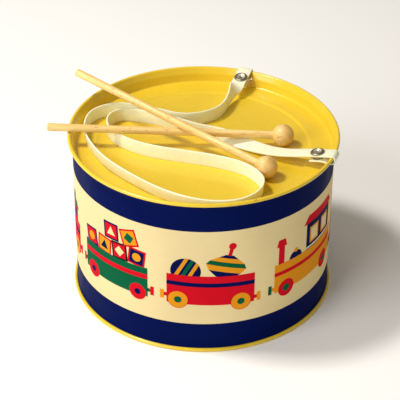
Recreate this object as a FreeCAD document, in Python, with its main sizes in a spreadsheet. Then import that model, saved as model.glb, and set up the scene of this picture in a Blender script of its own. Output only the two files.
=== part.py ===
"""Tin toy drum with a neck strap and two ball-ended sticks.

Millimetres. +Z is up. The origin is on the drum's axis, in the plane that the bottom rim stands on.
The drum is a sheet-metal shell closed by two pressed heads, each joined to it by a rolled rim bead.
A flat strap lies on the top head in open loops. Each of its ends passes over the rim, comes back in
through a slot below it and is held to itself by a snap fastener. Two sticks rest across the top.
"""
import FreeCAD, Part
import math
import os
import Sketcher

Vector = FreeCAD.Vector

# ---------------------------------------------------------------------------------------------
# Driving dimensions
# ---------------------------------------------------------------------------------------------
SIZES = {
    # drum
    "drum_height": 141.5,
    "top_rim_radius": 110.0,
    "bottom_rim_radius": 109.0,
    "shell_radius": 106.1,
    "tin_thickness": 0.35,
    # rolled bead at each rim: its centre is a little less than its radius below the rim plane,
    # which leaves a narrow flat land on top of it
    "bead_radius": 1.6,
    "bead_depth": 1.5,
    # pressed head, as depths below the rim plane and radii of the upper face
    "skin_depth": 13.7,
    "ledge_depth": 12.7,
    "step_inner_radius": 85.0,
    "step_outer_radius": 87.2,
    "wall_foot_radius": 104.3,
    "wall_bend_radius": 105.0,
    "wall_bend_depth": 5.5,
    "wall_top_depth": 1.1,
    "wall_top_inset": 2.9,
    "foot_fillet": 1.5,
    "step_fillet": 3.0,
    "bend_fillet": 4.0,
    # the shell flares out at both ends and its edge is folded into the bead
    "flare_start_depth": 6.5,
    "flare_edge_depth": 2.0,
    "flare_edge_inset": 2.0,
    "lock_seam_width": 5.0,
    "lock_seam_proud": 0.45,
    # strap and the slots that it enters by
    "strap_width": 11.7,
    "strap_thickness": 1.3,
    "strap_rest_gap": 0.05,
    "ledge_relief_inset": 0.5,
    "slot_width": 13.0,
    "slot_opening": 2.5,
    "slot_level": 135.6,
    # snap fastener: heights are measured from the middle of the strap layer that a piece is fixed to
    "cap_radius": 5.75,
    "cap_crest_inner_radius": 3.1,
    "cap_crest_outer_radius": 4.4,
    "cap_crest_rise": 1.4,
    "cap_dimple_radius": 1.7,
    "cap_dimple_rise": 0.4,
    "cap_edge_rise": 0.7,
    "post_radius": 1.5,
    "post_reach": 1.35,
    "socket_radius": 4.9,
    "socket_bore_radius": 2.9,
    "socket_drop": 2.9,
    "stud_flange_radius": 4.3,
    "stud_flange_rise": 1.15,
    "stud_neck_radius": 1.85,
    "stud_neck_rise": 1.6,
    "stud_knob_radius": 2.2,
    "stud_knob_rise": 1.9,
    "stud_top": 2.6,
    "eyelet_radius": 3.5,
    "eyelet_post_radius": 1.2,
    "eyelet_bore_radius": 0.75,
    "eyelet_top": 2.2,
    "eyelet_rim": 0.5,
    "snap_edge_break": 0.5,
    "tail_hole_radius": 1.25,
    "layer_gap": 4.35,
    # sticks
    "dowel_radius": 3.175,
    "ball_radius": 9.0,
    "stick_reach": 190.0,
    "dowel_overlap": 3.0,
    "glue_gap": 0.5,
    "dowel_end_round": 0.6,
}

# Polar angle about the drum's axis of each strap anchor and of the shell's lock seam
ANCHOR_ANGLES = {"rear": 70.8, "right": -19.5}
LOCK_SEAM_ANGLE = 118.0

# The strap's end in its radial plane, as (radius, height): out through the slot, up over the rim
# bead and down inwards to where the twist begins. The strap is pulled straight along the last run.
END_ROUTE = [(106.25, 135.6), (111.1, 135.6), (111.1, 142.95), (87.0, 138.77)]
SNAP_RADIUS = 95.6

# Radii of the folded-back tail's start in the slot, of its bend, and of its tip past the snap
TAIL_RADII = (105.85, 101.6, 90.4)

# Twist at the rear end, from flat to standing on its edge: x, y, height, lean from flat in degrees
REAR_TWIST = [
    (26.3, 77.8, 137.7, 45.0),
    (23.8, 72.4, 136.4, 74.0),
    (21.3, 65.6, 135.0, 86.0),
    (19.2, 58.6, 134.1, 90.0),
]

# Plan of the loops, where the strap stands on its edge on the head
LOOP_ROUTE = [
    (16.8, 51.0), (11.5, 41.5), (-1.5, 32.5), (-19.0, 29.5), (-38.0, 38.5), (-58.0, 46.5),
    (-80.0, 44.5), (-95.0, 31.5), (-97.5, 8.0), (-92.5, -12.0), (-79.0, -38.0), (-58.0, -61.0),
    (-34.0, -83.0), (-10.5, -96.5), (12.0, -101.5), (32.0, -97.0), (45.5, -82.0), (46.5, -63.0),
    (33.5, -45.5), (12.0, -35.0), (-15.0, -28.0), (-43.0, -20.5), (-63.0, -9.5), (-78.0, 7.0),
    (-80.0, 25.0), (-70.0, 38.0), (-54.0, 36.0), (-38.0, 30.0), (-22.0, 23.5), (-4.0, 13.4),
]
LOOP_BOTTOM = 127.85

# Twist at the right end, from standing back to flat, passing under the lower stick
RIGHT_TWIST = [
    (6.0, 9.4, 133.75, 80.0),
    (17.0, 5.0, 133.25, 58.0),
    (28.0, -0.5, 131.7, 32.0),
    (40.0, -8.2, 131.3, 18.0),
    (52.0, -16.0, 132.4, 7.0),
    (64.0, -22.6, 134.6, 2.0),
    (75.0, -26.8, 137.1, 0.0),
]

# Each stick: the centre of its ball, and the direction from the ball to the other end
STICKS = {
    "lower": {"ball": (64.1, 0.7, 137.0), "towards": (-125.1, -4.9, 145.75)},
    "upper": {"ball": (49.2, -48.3, 137.0), "towards": (-105.7, 58.7, 161.25)},
}

# Where a sketch's corners are before its constraints are solved
GUESS_CENTRE = Vector(100, 0, 0)
GUESS_RADIUS = 10.0

doc = FreeCAD.newDocument("toy_drum")
sheet = doc.addObject("Spreadsheet::Sheet", "Sizes")
for row, (alias, value) in enumerate(SIZES.items(), start=1):
    sheet.set(f"A{row}", alias)
    sheet.set(f"B{row}", str(value))
    sheet.setAlias(f"B{row}", alias)
doc.recompute()


def size(alias):
    """The present value of a cell of the sheet."""
    return float(sheet.get(alias))


def cell(formula):
    """A formula with each alias replaced by a reference to its cell."""
    words = formula.split()
    return " ".join(f"Sizes.{word}" if word in SIZES else word for word in words)


def bind(thing, **formulas):
    for path, formula in formulas.items():
        thing.setExpression(path.replace("__", "."), cell(formula))


# ---------------------------------------------------------------------------------------------
# Helpers for bodies made from sketches
# ---------------------------------------------------------------------------------------------
def new_body(label):
    body = doc.addObject("PartDesign::Body", label)
    body.Label = label
    return body


def origin_feature(body, role):
    return next(item for item in body.Origin.OriginFeatures if item.Role == role)


def new_sketch(body, name, plane):
    sketch = body.newObject("Sketcher::SketchObject", name)
    sketch.AttachmentSupport = (origin_feature(body, plane), [""])
    sketch.MapMode = "FlatFace"
    return sketch


def outline(sketch, corners):
    """A closed outline of straight sides. Each corner's two places are formulas; None is on the axis.
    The corners start evenly round a circle, in order, and the constraints then move them."""
    from_origin = {"DistanceX": 0, "DistanceY": 1}
    count = len(corners)
    guess = [GUESS_CENTRE + Vector(GUESS_RADIUS, 0, 0) for _ in range(count)]
    for i, point in enumerate(guess):
        turn = math.tau * i / count
        point.x = GUESS_CENTRE.x + GUESS_RADIUS * math.cos(turn)
        point.y = GUESS_RADIUS * math.sin(turn)
    for i in range(count):
        sketch.addGeometry(Part.LineSegment(guess[i], guess[(i + 1) % count]), False)
    for i in range(count):
        sketch.addConstraint(Sketcher.Constraint("Coincident", i, 2, (i + 1) % count, 1))
    for i, corner in enumerate(corners):
        for kind, place in from_origin.items():
            formula = corner[place]
            if formula is None:
                sketch.addConstraint(Sketcher.Constraint("PointOnObject", i, 1, -2))
                continue
            index = sketch.addConstraint(Sketcher.Constraint(kind, -1, 1, i, 1, 1.0))
            sketch.setExpression(f"Constraints[{index}]", cell(formula))


def revolved(body, name, corners):
    """Turn an outline, given as radius and height formulas, once round the body's Z axis."""
    sketch = new_sketch(body, name + "_profile", "XZ_Plane")
    outline(sketch, corners)
    feature = body.newObject("PartDesign::Revolution", name)
    feature.Profile = sketch
    feature.ReferenceAxis = (sketch, ["V_Axis"])
    feature.Angle = 360.0
    doc.recompute()
    return feature


def rings_at(feature, places):
    """Names of the circular edges at the given (radius, height) places."""
    names = []
    for number, edge in enumerate(feature.Shape.Edges, start=1):
        if not isinstance(edge.Curve, Part.Circle):
            continue
        for radius, height in places:
            off = abs(edge.Curve.Radius - radius) + abs(edge.Curve.Center.z - height)
            if off < 0.01:
                names.append(f"Edge{number}")
    return names


def rounded(body, name, base, places, radius_formula):
    feature = body.newObject("PartDesign::Fillet", name)
    feature.Base = (base, rings_at(base, places))
    bind(feature, Radius=radius_formula)
    doc.recompute()
    return feature


def box_feature(body, kind, name, length, width, height):
    feature = body.newObject(f"PartDesign::{kind}Box", name)
    bind(feature, Length=length, Width=width, Height=height)
    return feature


def turned_about_axis(angle, x, y, z):
    """Placement of something at (x, y, z) after a turn of angle degrees about Z."""
    turn = FreeCAD.Rotation(Vector(0, 0, 1), angle)
    return FreeCAD.Placement(turn.multVec(Vector(x, y, z)), turn)


def strap_slots(body, level_offset):
    """Two slots through the sheet, under the rim bead, one at each strap anchor."""
    for side, angle in ANCHOR_ANGLES.items():
        slot = box_feature(body, "Subtractive", f"slot_{side}",
                           "bead_radius * 10", "slot_width", "slot_opening")
        low = size("slot_level") - size("slot_opening") / 2 - level_offset
        inner = size("shell_radius") - 8.0
        slot.Placement = turned_about_axis(angle, inner, -size("slot_width") / 2, low)
        before = slot.BaseFeature.Shape.Volume if slot.BaseFeature else 0.0
        doc.recompute()
        assert slot.Shape.Volume < before, f"{slot.Label} cuts nothing"


# ---------------------------------------------------------------------------------------------
# Drum
# ---------------------------------------------------------------------------------------------
def make_shell():
    """Cylinder of sheet metal with a flare at each end and a lock seam up its back."""
    body = new_body("drum_shell")
    low_edge = "bottom_rim_radius - flare_edge_inset"
    high_edge = "top_rim_radius - flare_edge_inset"
    top = "drum_height - "
    revolved(body, "sheet", [
        (low_edge, "flare_edge_depth"),
        ("shell_radius", "flare_start_depth"),
        ("shell_radius", top + "flare_start_depth"),
        (high_edge, top + "flare_edge_depth"),
        (high_edge + " - tin_thickness", top + "flare_edge_depth"),
        ("shell_radius - tin_thickness", top + "flare_start_depth"),
        ("shell_radius - tin_thickness", "flare_start_depth"),
        (low_edge + " - tin_thickness", "flare_edge_depth"),
    ])
    seam = box_feature(body, "Additive", "lock_seam", "lock_seam_proud + tin_thickness",
                       "lock_seam_width", "drum_height - flare_start_depth * 2")
    seam.Placement = turned_about_axis(
        LOCK_SEAM_ANGLE, size("shell_radius") - size("tin_thickness"),
        -size("lock_seam_width") / 2, size("flare_start_depth"))
    doc.recompute()
    strap_slots(body, 0.0)
    return body


def make_head(label, rim_radius):
    """Pressed head, drawn with its rim plane at height 0 and its recess facing up."""
    body = new_body(label)
    wall_top = f"{rim_radius} - wall_top_inset"
    sheet_metal = revolved(body, "pressing", [
        (None, "- skin_depth"),
        ("step_inner_radius", "- skin_depth"),
        ("step_outer_radius", "- ledge_depth"),
        ("wall_foot_radius", "- ledge_depth"),
        ("wall_bend_radius", "- wall_bend_depth"),
        (wall_top, "- wall_top_depth"),
        (wall_top + " + tin_thickness", "- wall_top_depth"),
        ("wall_bend_radius + tin_thickness", "- wall_bend_depth"),
        ("wall_foot_radius + tin_thickness", "- ledge_depth - tin_thickness"),
        ("step_outer_radius", "- ledge_depth - tin_thickness"),
        ("step_inner_radius", "- skin_depth - tin_thickness"),
        (None, "- skin_depth - tin_thickness"),
    ])
    tin = size("tin_thickness")
    ledge, skin = -size("ledge_depth"), -size("skin_depth")
    foot, bend = size("wall_foot_radius"), size("wall_bend_radius")
    step_in, step_out = size("step_inner_radius"), size("step_outer_radius")
    bend_height = -size("wall_bend_depth")
    inner_foot = rounded(body, "foot_inside", sheet_metal, [(foot, ledge)], "foot_fillet")
    outer_foot = rounded(body, "foot_outside", inner_foot, [(foot + tin, ledge - tin)],
                         "foot_fillet + tin_thickness")
    step = rounded(body, "step_round", outer_foot,
                   [(step_in, skin), (step_out, ledge), (step_in, skin - tin), (step_out, ledge - tin)],
                   "step_fillet")
    rounded(body, "bend_round", step, [(bend, bend_height), (bend + tin, bend_height)], "bend_fillet")
    bead = body.newObject("PartDesign::AdditiveTorus", "rim_bead")
    bind(bead, Radius1=f"{rim_radius} - bead_radius", Radius2="bead_radius",
         Placement__Base__z="- bead_depth")
    doc.recompute()
    land = body.newObject("PartDesign::SubtractiveCylinder", "rim_land")
    bind(land, Radius=f"{rim_radius} + bead_radius", Height="bead_radius")
    doc.recompute()
    return body


def make_heads():
    top = make_head("top_head", "top_rim_radius")
    strap_slots(top, size("drum_height"))
    bind(top, Placement__Base__z="drum_height")
    bottom = make_head("bottom_head", "bottom_rim_radius")
    bottom.Placement = FreeCAD.Placement(Vector(0, 0, 0), FreeCAD.Rotation(Vector(1, 0, 0), 180))
    return [top, bottom]


# ---------------------------------------------------------------------------------------------
# Strap: straight runs joined by tangent arcs, and twists lofted between them
# ---------------------------------------------------------------------------------------------
def rounded_path(points):
    """Runs and arcs through a route of 2-D points: ('run', a, b) and ('arc', centre, radius, a0, a1)."""
    parts, start = [], points[0]
    for before, corner, after in zip(points, points[1:], points[2:]):
        into = Vector(corner[0] - before[0], corner[1] - before[1], 0)
        out = Vector(after[0] - corner[0], after[1] - corner[1], 0)
        turn = math.atan2(into.x * out.y - into.y * out.x, into.dot(out))
        reach = 0.45 * min(into.Length, out.Length)
        radius = reach / math.tan(abs(turn) / 2)
        into.normalize()
        out.normalize()
        side = math.copysign(1.0, turn)
        first = (corner[0] - into.x * reach, corner[1] - into.y * reach)
        centre = (first[0] - into.y * radius * side, first[1] + into.x * radius * side)
        begin = math.atan2(first[1] - centre[1], first[0] - centre[0])
        parts.append(("run", start, first))
        parts.append(("arc", centre, radius, begin, begin + turn))
        start = (corner[0] + out.x * reach, corner[1] + out.y * reach)
    parts.append(("run", start, points[-1]))
    return parts


def path_length(parts):
    total = 0.0
    for part in parts:
        total += math.dist(part[1], part[2]) if part[0] == "run" else part[2] * abs(part[4] - part[3])
    return total


def band(points, thickness, width, frame):
    """A flat strip bent along a route in the frame's XY plane, with its width along the frame's Z."""
    parts = rounded_path(points)
    sides = {1: [], -1: []}
    for side, edges in sides.items():
        offset = side * thickness / 2
        for part in parts:
            if part[0] == "run":
                along = Vector(part[2][0] - part[1][0], part[2][1] - part[1][1], 0).normalize()
                shift = Vector(-along.y * offset, along.x * offset, 0)
                ends = [Vector(*end, 0) + shift for end in part[1:]]
                edges.append(Part.LineSegment(*ends))
            else:
                _, centre, radius, begin, end = part
                reach = radius - offset * math.copysign(1.0, end - begin)
                places = [Vector(centre[0] + reach * math.cos(a), centre[1] + reach * math.sin(a), 0)
                          for a in (begin, (begin + end) / 2, end)]
                edges.append(Part.Arc(*places))
    left, right = sides[1], sides[-1]
    caps = [Part.LineSegment(left[-1].EndPoint, right[-1].EndPoint),
            Part.LineSegment(right[0].StartPoint, left[0].StartPoint)]
    shapes = [curve.toShape() for curve in left + right + caps]
    wire = Part.Wire(Part.sortEdges(shapes)[0])
    solid = Part.Face(wire).extrude(Vector(0, 0, width))
    solid.Placement = frame
    expected = path_length(parts) * thickness * width
    assert abs(solid.Volume - expected) < 0.01 * expected, "a band's volume is not its section by its length"
    return solid


def radial_frame(angle, width):
    """Frame whose X is radial and Y is up, with its Z across the strap, centred on the radial plane."""
    outwards = Vector(math.cos(math.radians(angle)), math.sin(math.radians(angle)), 0)
    across = outwards.cross(Vector(0, 0, 1))
    turn = FreeCAD.Rotation(outwards, Vector(0, 0, 1), across, "XYZ")
    return FreeCAD.Placement(across * (-width / 2), turn)


def radial_point(angle, radius, height):
    return Vector(radius * math.cos(math.radians(angle)), radius * math.sin(math.radians(angle)), height)


def strap_section(centre, along, lean, thickness, width):
    """Closed rectangle across the strap. Lean 0 is flat and 90 stands on its edge."""
    level = Vector(0, 0, 1).cross(along).normalize()
    up = along.cross(level).normalize()
    lean = math.radians(lean)
    across = level * math.cos(lean) + up * math.sin(lean)
    normal = along.cross(across).normalize()
    corners = [centre + across * (width / 2 * i) + normal * (thickness / 2 * j)
               for i, j in ((1, 1), (-1, 1), (-1, -1), (1, -1))]
    return Part.makePolygon(corners + corners[:1])


def twist(stations, first_along, last_along, thickness, width):
    """Ruled loft through stations of (centre, lean), with the given directions at its two ends."""
    wires = []
    for i, (centre, lean) in enumerate(stations):
        if i == 0:
            along = first_along
        elif i == len(stations) - 1:
            along = last_along
        else:
            along = stations[i + 1][0] - stations[i - 1][0]
        wires.append(strap_section(centre, Vector(along).normalize(), lean, thickness, width))
    return Part.makeLoft(wires, True, True)


def end_direction(angle):
    """Direction of the strap's last straight run, inwards from the rim."""
    (r0, z0), (r1, z1) = END_ROUTE[-2:]
    return (radial_point(angle, r1, z1) - radial_point(angle, r0, z0)).normalize()


def make_strap():
    thickness, width = size("strap_thickness"), size("strap_width")
    stand = LOOP_BOTTOM + width / 2
    on_head = FreeCAD.Placement(Vector(0, 0, LOOP_BOTTOM), FreeCAD.Rotation())
    loops = band(LOOP_ROUTE, thickness, width, on_head)
    ends = [band(END_ROUTE, thickness, width, radial_frame(a, width)) for a in ANCHOR_ANGLES.values()]

    plan = [Vector(x, y, 0) for x, y in LOOP_ROUTE]
    rear, right = ANCHOR_ANGLES["rear"], ANCHOR_ANGLES["right"]
    rear_stations = [(radial_point(rear, *END_ROUTE[-1]), 0.0)]
    rear_stations += [(Vector(x, y, z), -lean) for x, y, z, lean in REAR_TWIST]
    rear_stations += [(plan[0] + Vector(0, 0, stand), -90.0)]
    right_stations = [(plan[-1] + Vector(0, 0, stand), 90.0)]
    right_stations += [(Vector(x, y, z), lean) for x, y, z, lean in RIGHT_TWIST]
    right_stations += [(radial_point(right, *END_ROUTE[-1]), 0.0)]
    twists = [
        twist(rear_stations, end_direction(rear), plan[1] - plan[0], thickness, width),
        twist(right_stations, plan[-1] - plan[-2], end_direction(right) * -1, thickness, width),
    ]
    strap = loops.fuse(ends + twists)

    # the strap's lower edge clears the raised ledge round the edge of the head
    gap, reach = size("strap_rest_gap"), size("strap_thickness") * 2
    ledge = size("drum_height") - size("ledge_depth") + gap
    inner, outer = size("step_inner_radius") - size("ledge_relief_inset"), size("top_rim_radius")
    below = Part.makeCylinder(outer, reach, Vector(0, 0, ledge - reach))
    below = below.cut(Part.makeCylinder(inner, reach, Vector(0, 0, ledge - reach)))
    strap = strap.cut(below)
    for angle in ANCHOR_ANGLES.values():
        strap = strap.cut(snap_hole(angle, 0.0, size("post_radius")))

    feature = doc.addObject("Part::Feature", "strap")
    feature.Label = "strap"
    feature.Shape = strap.Solids[0] if len(strap.Solids) == 1 else strap
    feature.Placement = FreeCAD.Placement()
    radii = [part[2] for part in rounded_path(LOOP_ROUTE) + rounded_path(END_ROUTE) if part[0] == "arc"]
    print("strap bend radii, mm:", ", ".join(f"{r:.1f}" for r in radii))
    return feature


# ---------------------------------------------------------------------------------------------
# Snap fasteners and the strap's folded-back tails
# ---------------------------------------------------------------------------------------------
def snap_frame(angle, below):
    """Frame at the snap, a distance below the middle of the strap's upper layer, Z square to it."""
    (r0, z0), (r1, z1) = END_ROUTE[-2:]
    share = (r0 - SNAP_RADIUS) / (r0 - r1)
    along = end_direction(angle)
    side = Vector(0, 0, 1).cross(along).normalize()
    normal = along.cross(side).normalize()
    centre = radial_point(angle, SNAP_RADIUS, z0 + share * (z1 - z0)) - normal * below
    return FreeCAD.Placement(centre, FreeCAD.Rotation(along, side, normal, "XYZ"))


def snap_hole(angle, below, radius):
    thickness = size("strap_thickness")
    hole = Part.makeCylinder(radius, thickness * 2, Vector(0, 0, -thickness))
    hole.Placement = snap_frame(angle, below)
    return hole


def tail_route():
    """The tail starts level with the slot, then runs parallel to the upper layer, a gap below it."""
    (r0, z0), (r1, z1) = END_ROUTE[-2:]
    slope = (z1 - z0) / (r1 - r0)
    drop = size("layer_gap") * math.hypot(1.0, slope)
    start, corner, tip = TAIL_RADII
    return [(start, size("slot_level"))] + [(r, z0 + slope * (r - r0) - drop) for r in (corner, tip)]


def make_tail(side):
    angle = ANCHOR_ANGLES[side]
    width = size("strap_width")
    solid = band(tail_route(), size("strap_thickness"), width, radial_frame(angle, width))
    solid = solid.cut(snap_hole(angle, size("layer_gap"), size("tail_hole_radius")))
    feature = doc.addObject("Part::Feature", f"strap_tail_{side}")
    feature.Label = f"strap_tail_{side}"
    feature.Shape = solid
    feature.Placement = FreeCAD.Placement()
    return feature


def snap_outlines():
    """Revolved outline of each piece of a snap, from the middle of the layer that it is fixed to."""
    half = "strap_thickness / 2"
    return {
        "snap_cap": [
            (None, half + " + cap_dimple_rise"),
            ("cap_dimple_radius", half + " + cap_dimple_rise"),
            ("cap_crest_inner_radius", half + " + cap_crest_rise"),
            ("cap_crest_outer_radius", half + " + cap_crest_rise"),
            ("cap_radius - snap_edge_break / 2", half + " + cap_edge_rise"),
            ("cap_radius", half),
            ("post_radius", half),
            ("post_radius", "- post_reach"),
            (None, "- post_reach"),
        ],
        "snap_socket": [
            ("post_radius", "- " + half),
            ("socket_radius", "- " + half),
            ("socket_radius", "- socket_drop + snap_edge_break"),
            ("socket_radius - snap_edge_break", "- socket_drop"),
            ("socket_bore_radius", "- socket_drop"),
            ("socket_bore_radius", "- post_reach"),
            ("post_radius", "- post_reach"),
        ],
        "snap_stud": [
            ("eyelet_post_radius", half),
            ("stud_flange_radius", half),
            ("stud_flange_radius", "stud_flange_rise"),
            ("stud_neck_radius", "stud_flange_rise"),
            ("stud_neck_radius", "stud_neck_rise"),
            ("stud_knob_radius", "stud_knob_rise"),
            ("stud_knob_radius", "stud_top - snap_edge_break / 2"),
            ("stud_knob_radius - snap_edge_break", "stud_top"),
            (None, "stud_top"),
            (None, "eyelet_top"),
            ("eyelet_post_radius", "eyelet_top"),
        ],
        "snap_eyelet": [
            ("eyelet_bore_radius", "eyelet_top"),
            ("eyelet_post_radius", "eyelet_top"),
            ("eyelet_post_radius", "- " + half),
            ("eyelet_radius", "- " + half),
            ("eyelet_radius", "- " + half + " - eyelet_rim / 2"),
            ("eyelet_radius - snap_edge_break", "- " + half + " - eyelet_rim"),
            ("eyelet_bore_radius", "- " + half + " - eyelet_rim"),
        ],
    }


def make_snaps():
    pieces = []
    for side, angle in ANCHOR_ANGLES.items():
        for kind, corners in snap_outlines().items():
            body = new_body(f"{kind}_{side}")
            revolved(body, "turned", corners)
            below = 0.0 if kind in ("snap_cap", "snap_socket") else size("layer_gap")
            body.Placement = snap_frame(angle, below)
            pieces.append(body)
    return pieces


# ---------------------------------------------------------------------------------------------
# Sticks
# ---------------------------------------------------------------------------------------------
def make_stick(name, place):
    """A turned ball with a blind bore, and the dowel glued into it. Z runs from ball to tail."""
    centre = Vector(*place["ball"])
    along = (Vector(*place["towards"]) - centre).normalize()
    frame = FreeCAD.Placement(centre, FreeCAD.Rotation(Vector(0, 0, 1), along))

    ball = new_body(f"stick_{name}_ball")
    sphere = ball.newObject("PartDesign::AdditiveSphere", "turned_ball")
    bind(sphere, Radius="ball_radius")
    doc.recompute()
    bore = ball.newObject("PartDesign::SubtractiveCylinder", "bore")
    bind(bore, Radius="dowel_radius", Height="ball_radius * 2",
         Placement__Base__z="- dowel_overlap - glue_gap")
    ball.Placement = frame

    dowel = new_body(f"stick_{name}_dowel")
    rod = dowel.newObject("PartDesign::AdditiveCylinder", "rod")
    bind(rod, Radius="dowel_radius", Height="stick_reach + dowel_overlap",
         Placement__Base__z="- dowel_overlap")
    doc.recompute()
    rounded(dowel, "tail_end", rod, [(size("dowel_radius"), size("stick_reach"))], "dowel_end_round")
    dowel.Placement = frame
    return [dowel, ball]


def check_document():
    failed = [item.Name for item in doc.Objects if "Invalid" in item.State or "Error" in item.State]
    assert not failed, f"failed features: {failed}"


def export(pieces):
    os.makedirs("parts", exist_ok=True)
    for piece in pieces:
        shape = piece.Shape
        assert not shape.isNull() and shape.isValid(), f"{piece.Label} has no valid shape"
        assert len(shape.Solids) == 1, f"{piece.Label} is {len(shape.Solids)} solids"
        shape.exportStep(f"parts/{piece.Label}.step")
        box = shape.BoundBox
        print(f"{piece.Label}: {shape.Volume:.1f} mm3, z {box.ZMin:.2f} to {box.ZMax:.2f}")


def main():
    pieces = [make_shell()]
    pieces += make_heads()
    pieces += [make_strap()]
    pieces += [make_tail(side) for side in ANCHOR_ANGLES]
    pieces += make_snaps()
    for name, place in STICKS.items():
        pieces += make_stick(name, place)
    doc.recompute()
    check_document()
    export(pieces)


main()
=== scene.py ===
"""Looks of a printed tin toy drum with a vinyl neck strap and two ball-ended wooden sticks.

Lengths in this script are millimetres and are turned into metres where a mesh is made.
"""

import math

import bmesh
import bpy
from mathutils import Matrix, Vector


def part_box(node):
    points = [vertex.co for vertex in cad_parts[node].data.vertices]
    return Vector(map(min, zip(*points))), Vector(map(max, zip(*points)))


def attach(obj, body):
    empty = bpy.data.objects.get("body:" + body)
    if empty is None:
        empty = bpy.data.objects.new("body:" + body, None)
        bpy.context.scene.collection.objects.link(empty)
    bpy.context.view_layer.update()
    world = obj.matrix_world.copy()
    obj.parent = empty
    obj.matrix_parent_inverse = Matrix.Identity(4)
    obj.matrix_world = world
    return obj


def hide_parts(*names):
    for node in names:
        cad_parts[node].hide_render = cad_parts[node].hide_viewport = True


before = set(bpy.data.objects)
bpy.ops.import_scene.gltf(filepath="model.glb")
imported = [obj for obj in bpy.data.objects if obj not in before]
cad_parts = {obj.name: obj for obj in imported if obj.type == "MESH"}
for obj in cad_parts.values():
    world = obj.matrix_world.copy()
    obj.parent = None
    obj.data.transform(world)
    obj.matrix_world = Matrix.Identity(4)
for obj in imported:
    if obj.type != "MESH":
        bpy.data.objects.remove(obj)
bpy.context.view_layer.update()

MM = 0.001

# ---------------------------------------------------------------------------------------------
# Sizes shared by the pieces
# ---------------------------------------------------------------------------------------------
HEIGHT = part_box("top_head")[1][2] / MM
TOP_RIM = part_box("top_head")[1][0] / MM
BOTTOM_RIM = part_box("bottom_head")[1][0] / MM
SHELL = 106.1
TIN = 0.35
# the rim bead's centre is this far below the rim plane, and this far in from the rim
BEAD = 1.5
BEAD_IN = 1.6
SKIN_DEPTH = 13.7
LEDGE_DEPTH = 12.7
STEP_RADII = (85.0, 87.2)
WALL_FOOT, WALL_HEAD, NECK_DEPTH = 104.3, 105.0, 5.5
# where the shell's edge ends inside the bead, and where its flare bends out from the cylinder
EDGE_IN, EDGE_DEPTH = 2.2, 2.0
FLARE_DEPTH, FLARE_BEND = 6.5, 8.0
NAVY_LOW, NAVY_HIGH = 26.4, 114.3
LATHE_STEPS = 360

STRAP_WIDTH = 11.7
STRAP_THICKNESS = 1.3
STRAP_EDGE = 0.35
REST_GAP = 0.05
SLOT_HALF_ANGLE = 3.6
SLOT_HEIGHTS = (134.35, 136.85)
ANCHORS = {"rear": 70.8, "right": -19.5}
SNAP_RADIUS = 95.6
LAYER_GAP = 4.35
TAIL_RADII = (105.85, 101.6, 96.0, 90.4)

SEAM_ANGLE = 118.0
SEAM_HALF_WIDTH = 2.5
SEAM_PROUD = 0.45
SEAM_MARGIN = 7.0


# ---------------------------------------------------------------------------------------------
# Materials
# ---------------------------------------------------------------------------------------------
def linear(colour):
    """Display colour, 0 to 255, as linear RGBA."""
    parts = [c / 255 for c in colour]
    return [p / 12.92 if p <= 0.04045 else ((p + 0.055) / 1.055) ** 2.4 for p in parts] + [1.0]


# a Mix node's sockets for colours
MIX_A, MIX_B, MIX_RESULT = 6, 7, 2


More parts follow.
